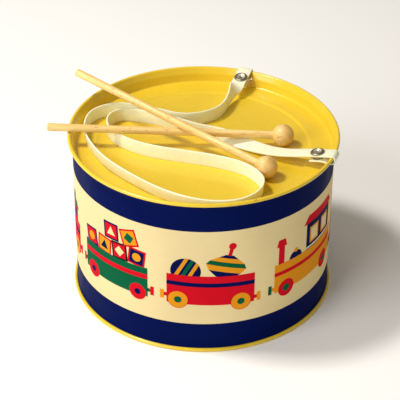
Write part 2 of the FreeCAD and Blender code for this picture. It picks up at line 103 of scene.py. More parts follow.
class Shader:
    """A Principled material with short ways to add procedural detail to it."""

    def __init__(self, name, roughness, metallic=0.0, coat=0.0, specular=0.5):
        self.material = bpy.data.materials.new(name)
        self.material.use_nodes = True
        self.tree = self.material.node_tree
        self.bsdf = self.tree.nodes["Principled BSDF"]
        self.bsdf.inputs["Roughness"].default_value = roughness
        self.bsdf.inputs["Metallic"].default_value = metallic
        self.bsdf.inputs["Coat Weight"].default_value = coat
        self.bsdf.inputs["Coat Roughness"].default_value = 0.12
        self.bsdf.inputs["Specular IOR Level"].default_value = specular
        self.place = self.node("ShaderNodeTexCoord").outputs["Object"]

    def node(self, kind, **settings):
        made = self.tree.nodes.new(kind)
        for key, value in settings.items():
            setattr(made, key, value)
        return made

    def link(self, source, target):
        self.tree.links.new(source, target)

    def stretched(self, scale):
        """Object coordinates with each axis scaled."""
        mapping = self.node("ShaderNodeMapping")
        mapping.inputs["Scale"].default_value = scale
        self.link(self.place, mapping.inputs["Vector"])
        return mapping.outputs["Vector"]

    def noise(self, scale, detail=3.0, rough=0.55, stretch=(1, 1, 1), distortion=0.0):
        """Procedural noise on the piece's own coordinates."""
        made = self.node("ShaderNodeTexNoise")
        made.inputs["Scale"].default_value = scale
        made.inputs["Detail"].default_value = detail
        made.inputs["Roughness"].default_value = rough
        made.inputs["Distortion"].default_value = distortion
        self.link(self.stretched(stretch), made.inputs["Vector"])
        return made.outputs["Fac"]

    def ramp(self, factor, stops):
        """Colour ramp through (position, display colour) stops."""
        made = self.node("ShaderNodeValToRGB")
        band = made.color_ramp
        while len(band.elements) < len(stops):
            band.elements.new(0.5)
        for element, (position, colour) in zip(band.elements, stops):
            element.position = position
            element.color = linear(colour)
        self.link(factor, made.inputs["Fac"])
        return made.outputs["Color"]

    def spread(self, factor, low, high, to_low, to_high):
        """The factor's range from low to high, mapped to another range."""
        made = self.node("ShaderNodeMapRange")
        values = {"From Min": low, "From Max": high, "To Min": to_low, "To Max": to_high}
        for key, value in values.items():
            made.inputs[key].default_value = value
        self.link(factor, made.inputs["Value"])
        return made.outputs["Result"]

    def maths(self, operation, first, second):
        made = self.node("ShaderNodeMath", operation=operation)
        self.link(first, made.inputs[0])
        self.link(second, made.inputs[1])
        return made.outputs["Value"]

    def bump(self, heights, distance):
        """Bumps laid over each other, as (factor, strength) pairs."""
        normal = None
        for factor, strength in heights:
            made = self.node("ShaderNodeBump")
            made.inputs["Strength"].default_value = strength
            made.inputs["Distance"].default_value = distance
            self.link(factor, made.inputs["Height"])
            if normal is not None:
                self.link(normal, made.inputs["Normal"])
            normal = made.outputs["Normal"]
        self.link(normal, self.bsdf.inputs["Normal"])

    def colour(self, socket):
        self.link(socket, self.bsdf.inputs["Base Color"])

    def roughness(self, socket):
        self.link(socket, self.bsdf.inputs["Roughness"])


def shade(colour, factor):
    """The colour made darker or lighter by a factor."""
    return tuple(min(255, c * factor) for c in colour)


def mottled(shader, colour):
    """The colour with faint mottling."""
    cloud = shader.noise(14, detail=4)
    return shader.ramp(cloud, [(0.3, shade(colour, 0.965)), (0.7, shade(colour, 1.02))])


def rubbed(shader, low, high):
    """Roughness between two values, in soft rub marks."""
    rubs = shader.noise(60, detail=6, rough=0.7, stretch=(1, 1, 0.35))
    return shader.spread(rubs, 0.35, 0.7, low, high)


def orange_peel(shader):
    """The fine and the broad unevenness of a painted sheet."""
    shader.bump([(shader.noise(900, detail=1), 0.04), (shader.noise(22, detail=2), 0.10)], 0.0008)


def chipped_enamel(name, colour):
    """Glossy enamel, worn through in small dark chips along the two rims."""
    shader = Shader(name, 0.24, coat=0.3, specular=0.4)
    axes = shader.node("ShaderNodeSeparateXYZ")
    shader.link(shader.place, axes.inputs["Vector"])
    top = shader.spread(axes.outputs["Z"], (HEIGHT - 2.4) * MM, (HEIGHT - 1.6) * MM, 0, 1)
    foot = shader.spread(axes.outputs["Z"], 1.6 * MM, 2.4 * MM, 1, 0)
    spots = shader.spread(shader.noise(55, detail=5, rough=0.65), 0.665, 0.69, 0, 1)
    rims = shader.maths("MAXIMUM", top, foot)
    worn = shader.maths("MULTIPLY", rims, spots)
    mix = shader.node("ShaderNodeMix", data_type="RGBA")
    mix.inputs[MIX_B].default_value = linear((96, 66, 40))
    shader.link(worn, mix.inputs["Factor"])
    shader.link(mottled(shader, colour), mix.inputs[MIX_A])
    shader.colour(mix.outputs[MIX_RESULT])
    shader.roughness(shader.maths("MAXIMUM", rubbed(shader, 0.2, 0.33), worn))
    orange_peel(shader)
    return shader.material


def ink(name, colour):
    """Printing on the shell, with less gloss than the enamel of the heads."""
    roughness = 0.45
    shader = Shader(name, roughness, specular=0.015)
    shader.colour(mottled(shader, colour))
    shader.roughness(rubbed(shader, roughness * 0.85, roughness * 1.35))
    orange_peel(shader)
    return shader.material


def vinyl():
    """Cream strap: soft plastic with a fine leather-like grain."""
    colour = (255, 252, 214)
    shader = Shader("strap_vinyl", 0.42, coat=0.05)
    cloud = shader.noise(45, detail=5)
    shader.colour(shader.ramp(cloud, [(0.3, shade(colour, 0.965)), (0.72, shade(colour, 1.02))]))
    grain = shader.node("ShaderNodeTexVoronoi")
    grain.inputs["Scale"].default_value = 1500
    shader.link(shader.place, grain.inputs["Vector"])
    shader.roughness(shader.spread(cloud, 0.3, 0.7, 0.36, 0.5))
    shader.bump([(grain.outputs["Distance"], 0.10), (shader.noise(120, detail=3), 0.12)], 0.0004)
    shader.bsdf.inputs["Subsurface Weight"].default_value = 0.45
    shader.bsdf.inputs["Subsurface Scale"].default_value = 1.0
    shader.bsdf.inputs["Subsurface Radius"].default_value = (0.004, 0.003, 0.0015)
    return shader.material


def wood(name, light, dark, across, rings):
    """Sanded birch with streaks along the piece's own Z."""
    shader = Shader(name, 0.5, coat=0.08)
    streaks = shader.noise(260, detail=8, rough=0.62, stretch=(across, across, rings), distortion=0.4)
    flecks = shader.noise(620, detail=3, rough=0.6, stretch=(1, 1, 0.22))
    middle = tuple((a + b) / 2 for a, b in zip(light, dark))
    base = shader.ramp(streaks, [(0.34, dark), (0.5, middle), (0.64, light)])
    spots = shader.ramp(flecks, [(0.30, (190, 138, 84)), (0.38, (255, 255, 255))])
    mix = shader.node("ShaderNodeMix", data_type="RGBA", blend_type="MULTIPLY")
    mix.inputs["Factor"].default_value = 0.8
    shader.link(base, mix.inputs[MIX_A])
    shader.link(spots, mix.inputs[MIX_B])
    shader.colour(mix.outputs[MIX_RESULT])
    shader.roughness(shader.spread(streaks, 0.3, 0.7, 0.62, 0.42))
    shader.bump([(streaks, 0.12), (flecks, 0.18)], 0.0003)
    return shader.material


def plated(name, colour, roughness):
    """Darkened plated metal with fine turning marks and tarnish."""
    shader = Shader(name, roughness, metallic=1.0)
    tarnish = shader.noise(700, detail=5, rough=0.6)
    shader.colour(shader.ramp(tarnish, [(0.35, shade(colour, 0.82)), (0.65, shade(colour, 1.08))]))
    shader.roughness(shader.spread(tarnish, 0.3, 0.7, roughness * 0.85, roughness * 1.25))
    shader.bump([(shader.noise(2500, detail=2), 0.08)], 0.0002)
    return shader.material


YELLOW = (235, 200, 50)
NAVY = (4, 18, 76)
CREAM = (234, 214, 160)
MATERIALS = {
    "yellow": chipped_enamel("yellow_enamel", YELLOW),
    "navy": ink("navy_print", NAVY),
    "cream": ink("cream_print", CREAM),
    "red": ink("red_ink", (208, 18, 36)),
    "green": ink("green_ink", (8, 92, 58)),
    "orange": ink("orange_ink", (228, 150, 30)),
    "black": ink("black_ink", (28, 20, 26)),
    "white": ink("white_ink", (236, 230, 214)),
    "vinyl": vinyl(),
    "snap": plated("snap_plating", (158, 150, 132), 0.42),
    # a brighter copy of the snap plating: a painted highlight on the caps' dish, not a different metal
    "snap_painted_highlight": plated("snap_plating_painted_highlight", (238, 231, 208), 0.46),
    "dowel": wood("dowel_birch", (250, 220, 146), (230, 186, 104), 1.0, 0.06),
    "ball": wood("ball_birch", (242, 206, 134), (222, 178, 98), 0.5, 0.5),
}


# ---------------------------------------------------------------------------------------------
# Mesh helpers
# ---------------------------------------------------------------------------------------------
def new_piece(name, mesh, body, material_slot, *materials):
    """Object for a mesh, in the scene, its materials and the body that it rides on."""
    piece = bpy.data.objects.new(name, mesh)
    bpy.context.scene.collection.objects.link(piece)
    for material in materials:
        mesh.materials.append(MATERIALS[material])
    piece["body"] = body
    return piece


def smooth(mesh, sharp_degrees=38):
    """Smooth shading, except over edges sharper than the angle."""
    for polygon in mesh.polygons:
        polygon.use_smooth = True
    mesh.set_sharp_from_angle(angle=math.radians(sharp_degrees))


def settle(piece):
    """Apply the piece's modifiers."""
    graph = bpy.context.evaluated_depsgraph_get()
    mesh = bpy.data.meshes.new_from_object(piece.evaluated_get(graph))
    piece.modifiers.clear()
    old, piece.data = piece.data, mesh
    bpy.data.meshes.remove(old)
    smooth(mesh)


def arc_points(centre, radius, start, end, steps):
    """Points of an arc, angles in degrees."""
    angles = [math.radians(start + (end - start) * i / steps) for i in range(steps + 1)]
    return [(centre[0] + radius * math.cos(a), centre[1] + radius * math.sin(a)) for a in angles]


def rounded_line(corners, steps=7):
    """Polyline through (x, y, radius) corners, each rounded by an arc of its radius."""
    points = [corners[0][:2]]
    for before, corner, after in zip(corners, corners[1:], corners[2:]):
        here = Vector(corner[:2])
        into = (here - Vector(before[:2])).normalized()
        out = (Vector(after[:2]) - here).normalized()
        turn = math.acos(max(-1.0, min(1.0, into.dot(out))))
        radius = corner[2]
        if radius <= 0 or turn < 1e-4:
            points.append(tuple(here))
            continue
        reach = radius * math.tan(turn / 2)
        start, end = here - into * reach, here + out * reach
        for i in range(steps + 1):
            share = i / steps
            blend = start * (1 - share) ** 2 + here * 2 * share * (1 - share) + end * share ** 2
            points.append(tuple(blend))
    points.append(corners[-1][:2])
    return points


def lathe(name, profile, body, slot_name, materials, choose=None, skip=None, steps=LATHE_STEPS):
    """Turn a profile of (radius, height) round Z. choose gives a face's material from its middle, and
    skip says which faces to leave out."""
    mesh = bpy.data.meshes.new(name)
    build = bmesh.new()
    rings = []
    for radius, height in profile:
        if radius < 1e-6:
            rings.append([build.verts.new((0, 0, height * MM))])
            continue
        ring = []
        for i in range(steps):
            angle = 2 * math.pi * i / steps
            x, y = radius * math.cos(angle), radius * math.sin(angle)
            ring.append(build.verts.new((x * MM, y * MM, height * MM)))
        rings.append(ring)
    for a, b in zip(rings, rings[1:]):
        for i in range(steps):
            j = (i + 1) % steps
            corners = []
            for vertex in (a[i % len(a)], a[j % len(a)], b[j % len(b)], b[i % len(b)]):
                if vertex not in corners:
                    corners.append(vertex)
            middle = sum((v.co for v in corners), Vector()) / len(corners) / MM
            if skip and skip(middle):
                continue
            face = build.faces.new(corners)
            if choose:
                face.material_index = choose(middle)
    bmesh.ops.recalc_face_normals(build, faces=build.faces)
    build.to_mesh(mesh)
    build.free()
    smooth(mesh)
    return new_piece(name, mesh, body, slot_name, *materials)


def thicken(piece, thickness, offset):
    """Give a surface the thickness of a sheet."""
    made = piece.modifiers.new("sheet", "SOLIDIFY")
    made.thickness = thickness * MM
    made.offset = offset
    made.use_even_offset = True
    settle(piece)


def polar_degrees(point):
    """Angle of a point about the drum's axis."""
    return math.degrees(math.atan2(point.y, point.x))


def in_slot(middle):
    """Whether a point of the drum's wall is inside one of the two strap slots."""
    if not SLOT_HEIGHTS[0] < middle.z < SLOT_HEIGHTS[1]:
        return False
    return any(abs(polar_degrees(middle) - angle) < SLOT_HALF_ANGLE for angle in ANCHORS.values())


# ---------------------------------------------------------------------------------------------
# Drum
# ---------------------------------------------------------------------------------------------
def make_shell():
    """Printed sheet cylinder, flared into the beads, navy at both ends and cream between."""
    middle = SHELL - TIN / 2
    profile = rounded_line([
        (BOTTOM_RIM - EDGE_IN, EDGE_DEPTH, 0),
        (middle, FLARE_DEPTH, FLARE_BEND),
        (middle, HEIGHT - FLARE_DEPTH, FLARE_BEND),
        (TOP_RIM - EDGE_IN, HEIGHT - EDGE_DEPTH, 0),
    ])
    cuts = [NAVY_LOW, NAVY_HIGH, *SLOT_HEIGHTS]
    rows = [NAVY_LOW + 8 * i for i in range(1, 11)]
    heights = sorted(set([p[1] for p in profile] + cuts + rows))

    def radius_at(height):
        for (r0, z0), (r1, z1) in zip(profile, profile[1:]):
            if z0 <= height <= z1:
                return r0 + (r1 - r0) * (height - z0) / (z1 - z0)
        return middle

    full = [(radius_at(z), z) for z in heights]
    shell = lathe("shell_print", full, "drum", "printed_tin", ["navy", "cream"],
                  choose=lambda m: 1 if NAVY_LOW < m.z < NAVY_HIGH else 0, skip=in_slot)
    thicken(shell, TIN, 0.0)
    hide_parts("drum_shell")
    return shell


def make_seam():
    """Lock seam up the back of the shell: a flat fold with rounded long edges."""
    half, sunk, bend = SEAM_HALF_WIDTH, -0.3, 0.35
    section = rounded_line([
        (-half, sunk, 0), (-half, SEAM_PROUD, bend), (half, SEAM_PROUD, bend), (half, sunk, 0),
    ])
    cuts = [SEAM_MARGIN, NAVY_LOW, NAVY_HIGH, HEIGHT - SEAM_MARGIN]
    mesh = bpy.data.meshes.new("lock_seam")
    build = bmesh.new()
    angle = math.radians(SEAM_ANGLE)
    rows = []
    for height in cuts:
        row = []
        for across, out in section:
            turn = angle + across / SHELL
            reach = (SHELL + out) * MM
            row.append(build.verts.new((reach * math.cos(turn), reach * math.sin(turn), height * MM)))
        rows.append(row)
    for number, (a, b) in enumerate(zip(rows, rows[1:])):
        for i in range(len(section)):
            j = (i + 1) % len(section)
            build.faces.new((a[i], a[j], b[j], b[i])).material_index = 1 if number == 1 else 0
    build.faces.new(rows[0])
    build.faces.new(rows[-1])
    bmesh.ops.recalc_face_normals(build, faces=build.faces)
    build.to_mesh(mesh)
    build.free()
    smooth(mesh, 50)
    return new_piece("lock_seam", mesh, "drum", "printed_tin", "navy", "cream")


def head_profile(rim):
    """Middle line of a pressed head with its rim plane at 0: skin, step, ledge, wall and rolled bead."""
    inner, outer = STEP_RADII
    half = TIN / 2
    centre = (rim - BEAD_IN, -BEAD)
    line = rounded_line([
        (0, -SKIN_DEPTH - half, 0),
        (60, -SKIN_DEPTH - half, 0),
        (inner, -SKIN_DEPTH - half, 4.0),
        (outer, -LEDGE_DEPTH - half, 4.0),
        (WALL_FOOT + half, -LEDGE_DEPTH - half, 1.7),
        (WALL_HEAD + half, -NECK_DEPTH, 4.0),
        (centre[0] - 1.32, -BEAD + 0.35, 0),
    ])
    curl = arc_points(centre, BEAD - half + 0.02, 165, -165, 26)
    return line + curl


def make_head(name, node, rim, top):
    """Pressed head of yellow sheet. The top one has the strap's slots cut through its wall."""
    profile = [(r, HEIGHT + z) if top else (r, -z) for r, z in head_profile(rim)]
    if top:
        profile = with_heights(profile, SLOT_HEIGHTS)
    head = lathe(name, profile, "drum", "yellow_tin", ["yellow"], skip=in_slot if top else None)
    thicken(head, TIN, 0.0)
    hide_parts(node)
    return head


def with_heights(profile, heights):
    """The profile with a point added wherever it passes one of the given heights."""
    full = [profile[0]]
    for (r0, z0), (r1, z1) in zip(profile, profile[1:]):
        between = [z for z in heights if min(z0, z1) < z < max(z0, z1)]
        for z in sorted(between, key=lambda value: abs(value - z0)):
            full.append((r0 + (r1 - r0) * (z - z0) / (z1 - z0), z))
        full.append((r1, z1))
    return full


# ---------------------------------------------------------------------------------------------
# Printed frieze: flat shapes in (along, up) millimetres, wrapped round the shell
# ---------------------------------------------------------------------------------------------
# each layer of ink stands this much higher, and all of them reach a little way into the shell
INK_STEP = 0.035
INK_SUNK = 0.05
BLOCK = 15.5
CUT_EVERY = 3.0


def box(x0, y0, x1, y1):
    """Outline of a rectangle."""
    return [(x0, y0), (x1, y0), (x1, y1), (x0, y1)]


def disc(x, y, radius, steps=48):
    """Outline of a circle."""
    return arc_points((x, y), radius, 0, 360 - 360 / steps, steps - 1)


def tilted(shape, x, y, degrees):
    """Outline turned about its own origin and moved to (x, y)."""
    turn = math.radians(degrees)
    return [(x + a * math.cos(turn) - b * math.sin(turn), y + a * math.sin(turn) + b * math.cos(turn))
            for a, b in shape]


def placed(shapes, x, y, degrees):
    """All the shapes turned and moved together."""
    return [(colour, tilted(shape, x, y, degrees), layer) for colour, shape, layer in shapes]


def wheel(x, y, radius, tyre, hub_radius, hub, rim=None):
    """Wheel with a hub, and a rim of another colour where one is given."""
    shapes = [(tyre, disc(x, y, radius), 6), (hub, disc(x, y, hub_radius), 8)]
    if rim:
        shapes += [(rim, disc(x, y, radius + 0.5), 5)]
    return shapes


def buffer(x, y, colour, stem, side):
    """Coupling at a car's end: a short stem and an upright plate. Side is +1 for the right end."""
    stem_low, stem_high = sorted((x, x + 2.6 * side))
    plate_low, plate_high = sorted((x + 2.4 * side, x + 5.4 * side))
    return [
        (stem, box(stem_low, y, stem_high, y + 3.2), 3),
        (colour, box(plate_low, y - 2.6, plate_high, y + 5.6), 4),
    ]


def toy_block(x, y, degrees, edge, face, mark, symbol):
    """A square building block with a bordered face and a plain symbol on it."""
    half = BLOCK / 2
    inner = half * 0.8
    symbols = {
        "dot": disc(0, 0, half * 0.5, 28),
        "diamond": [(0, half * 0.62), (half * 0.62, 0), (0, -half * 0.62), (-half * 0.62, 0)],
        "peak": [(-half * 0.55, -half * 0.45), (half * 0.55, -half * 0.45), (0, half * 0.55)],
    }
    parts = [
        (edge, box(-half, -half, half, half), 1),
        (face, box(-inner, -inner, inner, inner), 2),
        (mark, symbols[symbol], 3),
    ]
    return placed(parts, x, y, degrees)


def striped_ball(x, y, radius, degrees):
    """Ball with three stripes across it."""
    shapes = [("navy", disc(x, y, radius), 1)]
    for low, high, colour in ((0.28, 0.52, "orange"), (-0.12, 0.12, "green"), (-0.52, -0.28, "orange")):
        rows = [radius * low, radius * high]
        ends = [math.sqrt(radius ** 2 - row ** 2) for row in rows]
        stripe = [(-ends[0], rows[0]), (ends[0], rows[0]), (ends[1], rows[1]), (-ends[1], rows[1])]
        shapes.append((colour, tilted(stripe, x, y, degrees), 2))
    return shapes


def spinning_top(x, y, degrees):
    """A double cone in bands, with a stem and a knob."""
    rings = ((-9, 6.0), (-4, 13.0), (1, 16.5), (5, 14.0), (9, 8.0), (12, 3.0))
    colours = ("navy", "orange", "green", "orange", "navy")
    parts = []
    for (y0, half0), (y1, half1), colour in zip(rings, rings[1:], colours):
        parts.append((colour, [(-half0, y0), (half0, y0), (half1, y1), (-half1, y1)], 1))
    parts += [("red", box(-1.5, 11.5, 1.5, 19), 2), ("red", disc(0, 20.5, 3.0), 3)]
    return placed(parts, x, y, degrees)


def green_wagon():
    """Open wagon with a heap of building blocks."""
    shapes = [
        ("green", [(0, 0), (69, 1.5), (69, 28.5), (0, 27)], 6),
        ("red", [(0, 16.5), (69, 18.2), (69, 22.6), (0, 20.8)], 7),
    ]
    for x, y in ((11, 2.5), (60, 3.8)):
        shapes += wheel(x, y, 7.6, "red", 2.7, "navy")
    shapes += buffer(69, 6.5, "red", "green", 1) + buffer(0, 4.5, "red", "green", -1)
    heap = (
        (9.5, 34.0, 8, "navy", "red", "orange", "dot"),
        (26.5, 34.5, -4, "red", "orange", "navy", "peak"),
        (43.0, 35.5, 5, "black", "red", "cream", "diamond"),
        (59.5, 36.0, -7, "red", "navy", "orange", "dot"),
        (34.5, 50.8, 3, "navy", "red", "cream", "peak"),
        (52.5, 51.5, 17, "red", "orange", "green", "diamond"),
    )
    for block in heap:
        shapes += toy_block(*block)
    return shapes


def red_wagon():
    """Open wagon with a striped ball and a spinning top."""
    shapes = [
        ("red", [(0, 1), (70, -1), (70, 26.5), (0, 28.5)], 6),
        ("navy", [(0, 18.4), (70, 16.2), (70, 20), (0, 22.2)], 7),
    ]
    for x, y in ((9, 4.5), (59, 1.5)):
        shapes += wheel(x, y, 7.8, "orange", 3.0, "green", "red")
    shapes += buffer(70, 1.5, "orange", "red", 1) + buffer(0, 6.5, "orange", "red", -1)
    shapes += striped_ball(15.0, 32.0, 12.0, 62)
    shapes += spinning_top(46.5, 35.0, -14)
    return shapes


def engine():
    """Locomotive with a chimney, a dome and an empty cab."""
    shapes = [("orange", box(0, 0, 80, 26.5), 4), ("red", box(0, 15.5, 80, 19.2), 5)]
    for x in (12, 64):
        shapes += wheel(x, 1.5, 8.0, "red", 3.3, "green")
    shapes += buffer(0, 2.5, "green", "orange", -1) + buffer(80, 3.5, "green", "orange", 1)
    shapes += [
        ("red", box(3.4, 26, 9.0, 43), 3),
        ("red", [(1.2, 43), (11.2, 43), (9.4, 49.5), (3.0, 49.5)], 3),
        ("navy", arc_points((21.5, 26), 7.0, 0, 180, 20), 3),
        ("orange", disc(21.5, 33.4, 1.9, 24), 4),
        ("navy", box(34, 26, 74, 52), 1),
        ("red", [(30, 51), (78, 51), (72, 58.5), (36, 58.5)], 3),
    ]
    for left in (38.5, 56.5):
        shapes.append(("orange", box(left, 31, left + 13, 46), 2))
        shapes.append(("cream", box(left + 1.8, 32.8, left + 11.2, 44.2), 3))
    shapes.append(("white", box(34, 27.2, 74, 28.6), 4))
    return shapes


def caboose():
    """Closed end wagon with three windows and a chimney."""
    shapes = [("red", box(0, 0, 54, 28), 4), ("navy", box(0, 17, 54, 21), 5)]
    for x in (10, 44):
        shapes += wheel(x, 3, 7.6, "orange", 2.8, "green", "red")
    shapes += buffer(54, 5, "red", "navy", 1) + buffer(0, 5, "red", "navy", -1)
    shapes.append(("red", box(6, 28, 48, 40), 1))
    for left, colour in ((10, "navy"), (23, "orange"), (36, "navy")):
        shapes.append((colour, box(left, 30, left + 9, 38), 2))
    shapes.append(("green", [(2, 40), (52, 40), (46, 46), (8, 46)], 2))
    shapes.append(("black", box(36, 46, 41, 53), 1.5))
    return shapes


def wrap(name, shapes, along, up):
    """Thin chips of ink on the shell. Each shape is cut into narrow strips so that it follows the curve."""
    build = bmesh.new()
    used = sorted({colour for colour, _, _ in shapes})
    for colour, outline, layer in shapes:
        chip = bmesh.new()
        corners = [chip.verts.new((x + along, 0, y + up)) for x, y in outline]
        chip.faces.new(corners)
        low = min(v.co.x for v in corners)
        high = max(v.co.x for v in corners)
        cut = math.ceil(low / CUT_EVERY) * CUT_EVERY
        while cut < high:
            if cut - low > 0.02 and high - cut > 0.02:
                geometry = chip.verts[:] + chip.edges[:] + chip.faces[:]
                bmesh.ops.bisect_plane(chip, geom=geometry, plane_co=(cut, 0, 0), plane_no=(1, 0, 0),
                                       dist=1e-5)
            cut += CUT_EVERY
        raised = bmesh.ops.extrude_face_region(chip, geom=chip.faces[:])
        top = {v for v in raised["geom"] if isinstance(v, bmesh.types.BMVert)}
        for vertex in chip.verts:
            lift = INK_STEP * (layer + 1) if vertex in top else -INK_SUNK
            turn = vertex.co.x / SHELL - math.pi / 2
            reach = SHELL + lift
            vertex.co = Vector((reach * math.cos(turn), reach * math.sin(turn), vertex.co.z)) * MM
        bmesh.ops.recalc_face_normals(chip, faces=chip.faces)
        for face in chip.faces:
            face.material_index = used.index(colour)
        mesh = bpy.data.meshes.new("chip")
        chip.to_mesh(mesh)
        chip.free()
        build.from_mesh(mesh)
        bpy.data.meshes.remove(mesh)
    mesh = bpy.data.meshes.new(name)
    build.to_mesh(mesh)
    build.free()
    smooth(mesh, 30)
    return new_piece(name, mesh, "drum", "printed_tin", *used)


def make_frieze():
    """Two rounds of four vehicles fill the band."""
    round_length = math.pi * SHELL
    rail = 45.0
    train = (("green_wagon", green_wagon, -113.0), ("red_wagon", red_wagon, -28.0),
             ("engine", engine, 60.0), ("caboose", caboose, 150.5))
    pieces = []
    for turn in (0, 1):
        for name, draw, along in train:
            pieces.append(wrap(f"print_{name}_{turn + 1}", draw(), along + turn * round_length, rail))
    return pieces


# ---------------------------------------------------------------------------------------------
# Strap
# ---------------------------------------------------------------------------------------------
def radial(angle, radius, height):
    """Point at an angle about the drum's axis."""
    turn = math.radians(angle)
    return (radius * math.cos(turn), radius * math.sin(turn), height)


# (radius, height) from the slot, up the rim and in over it. The point after the rim's edge is about as far
# from that corner as the one before it, because the run in past the snap is straight
END_ROUTE = [(106.25, 135.6), (111.1, 135.6), (111.1, 142.95), (104.0, 141.72), (87.0, 138.77)]
REAR_TWIST = [
    (26.3, 77.8, 137.7, 45.0), (23.8, 72.4, 136.4, 74.0), (21.3, 65.6, 135.0, 86.0),
    (19.2, 58.6, 134.1, 90.0),
]
LOOP_ROUTE = [
    (16.8, 51.0), (11.5, 41.5), (-1.5, 32.5), (-19.0, 29.5), (-38.0, 38.5), (-58.0, 46.5),
    (-80.0, 44.5), (-95.0, 31.5), (-97.5, 8.0), (-92.5, -12.0), (-79.0, -38.0), (-58.0, -61.0),
    (-34.0, -83.0), (-10.5, -96.5), (12.0, -101.5), (32.0, -97.0), (45.5, -82.0), (46.5, -63.0),
    (33.5, -45.5), (12.0, -35.0), (-15.0, -28.0), (-43.0, -20.5), (-63.0, -9.5), (-78.0, 7.0),
    (-80.0, 25.0), (-70.0, 38.0), (-54.0, 36.0), (-38.0, 30.0), (-22.0, 23.5), (-4.0, 13.4),
]
RIGHT_TWIST = [
    (6.0, 9.4, 133.75, 80.0), (17.0, 5.0, 133.25, 58.0), (28.0, -0.5, 131.7, 32.0), (40.0, -8.2, 131.3, 18.0),
    (52.0, -16.0, 132.4, 7.0), (64.0, -22.6, 134.6, 2.0), (75.0, -26.8, 137.1, 0.0),
]
SKIN_LEVEL = HEIGHT - SKIN_DEPTH
# between these radii the strap climbs from the head's skin on to its ledge
CLIMB_RADII = (74.0, 86.5)
# along the front of the outer loop the strap's upper edge tips towards the rim
LEAN_OUT, LEAN_OUT_MIDDLE, LEAN_OUT_SPREAD = 16.0, 12.5, 5.5


def route_with_lean():
    """Control points of the strap's middle line, and how far it leans from flat at each, in degrees.
    The lean runs on the same way through both twists, from 0 by way of -90 on its edge to -180."""
    stand = SKIN_LEVEL + REST_GAP + STRAP_WIDTH / 2
    route = [(radial(ANCHORS["rear"], r, z), 0.0) for r, z in END_ROUTE]
    route += [((x, y, z), -lean) for x, y, z, lean in REAR_TWIST]
    for number, (x, y) in enumerate(LOOP_ROUTE):
        nearness = max(0.0, 1.0 - abs(number - LEAN_OUT_MIDDLE) / LEAN_OUT_SPREAD)
        route.append(((x, y, stand), -90.0 + LEAN_OUT * math.sin(nearness * math.pi / 2)))
    route += [((x, y, z), lean - 180.0) for x, y, z, lean in RIGHT_TWIST]
    route += [(radial(ANCHORS["right"], r, z), -180.0) for r, z in reversed(END_ROUTE)]
    return route


def spline_points(controls, per_run):
    """Points of the smooth line that the control points make, read from a NURBS curve."""
    data = bpy.data.curves.new("route", "CURVE")
    data.dimensions = "3D"
    line = data.splines.new("NURBS")
    line.points.add(len(controls) - 1)
    for point, place in zip(line.points, controls):
        point.co = (*[c * MM for c in place], 1.0)
    line.order_u = 3
    line.use_endpoint_u = True
    line.resolution_u = per_run
    holder = bpy.data.objects.new("route", data)
    bpy.context.scene.collection.objects.link(holder)
    mesh = bpy.data.meshes.new_from_object(holder)
    points = [v.co / MM for v in mesh.vertices]
    bpy.data.objects.remove(holder)
    bpy.data.curves.remove(data)
    bpy.data.meshes.remove(mesh)
    return points


def strip_section():
    """Outline across the strap, with softly rounded edges."""
    across, thick, edge = STRAP_WIDTH / 2, STRAP_THICKNESS / 2, STRAP_EDGE
    corners = [(across, thick), (-across, thick), (-across, -thick), (across, -thick)]
    outline = []
    for number, (x, y) in enumerate(corners):
        inner = (x - math.copysign(edge, x), y - math.copysign(edge, y))
        outline += arc_points(inner, edge, number * 90, number * 90 + 90, 4)
    return outline


def tangent(angle):
    """Level direction along the rim at an angle."""
    turn = math.radians(angle)
    return Vector((-math.sin(turn), math.cos(turn), 0))


def ribbon(name, points, leans, body, levels=None):
    """Sweep the strap's section along points, turned by the lean about the line. A point's level
    direction, across the line, is worked out from the line where levels doesn't give it."""
    section = strip_section()
    build = bmesh.new()
    rows = []
    for i, (point, lean) in enumerate(zip(points, leans)):
        along = (points[min(i + 1, len(points) - 1)] - points[max(i - 1, 0)]).normalized()
        given = levels[i] if levels else None
        level = given or Vector((0, 0, 1)).cross(along).normalized()
        up = along.cross(level).normalized()
        lean = math.radians(lean)
        across = level * math.cos(lean) + up * math.sin(lean)
        normal = along.cross(across).normalized()
        rows.append([build.verts.new((point + across * a + normal * b) * MM) for a, b in section])
    for a, b in zip(rows, rows[1:]):
        for i in range(len(section)):
            j = (i + 1) % len(section)
            build.faces.new((a[i], a[j], b[j], b[i]))
    build.faces.new(rows[0])
    build.faces.new(rows[-1])
    bmesh.ops.recalc_face_normals(build, faces=build.faces)
    mesh = bpy.data.meshes.new(name)
    build.to_mesh(mesh)
    build.free()
    smooth(mesh, 60)
    return new_piece(name, mesh, body, "cream_strap", "vinyl")


def make_strap():
    """The strap as a ribbon along its route's smooth line, leaning as its control points say."""
    route = route_with_lean()
    points = spline_points([place for place, _ in route], 12)
    last, spans = len(points) - 1, len(route) - 2
    # half way from the rim's last corner point to the first point of the straight run
    rim = len(END_ROUTE) - 2.5
    leans, levels = [], []
    for i, point in enumerate(points):
        # a quadratic spline is nearest to control point k half way along its span k - 1
        at = min(i / last * spans + 0.5, len(route) - 1.001)
        before = int(at)
        lean = route[before][1] + (route[before + 1][1] - route[before][1]) * (at - before)
        leans.append(lean)

        on_edge = min(max((abs(math.sin(math.radians(lean))) - 0.7) / 0.2, 0.0), 1.0)
        out = (math.hypot(point.x, point.y) - CLIMB_RADII[0]) / (CLIMB_RADII[1] - CLIMB_RADII[0])
        out = min(max(out, 0.0), 1.0)
        point.z += on_edge * out * out * (3 - 2 * out) * (SKIN_DEPTH - LEDGE_DEPTH)

        # over the rim the strap turns back on itself, so there its level direction is the rim's tangent
        if at < rim:
            levels.append(-tangent(ANCHORS["rear"]))
        elif at > len(route) - 1 - rim:
            levels.append(tangent(ANCHORS["right"]))
        else:
            levels.append(None)
    strap = ribbon("strap_band", points, leans, "drum", levels)
    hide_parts("strap")
    return strap, points


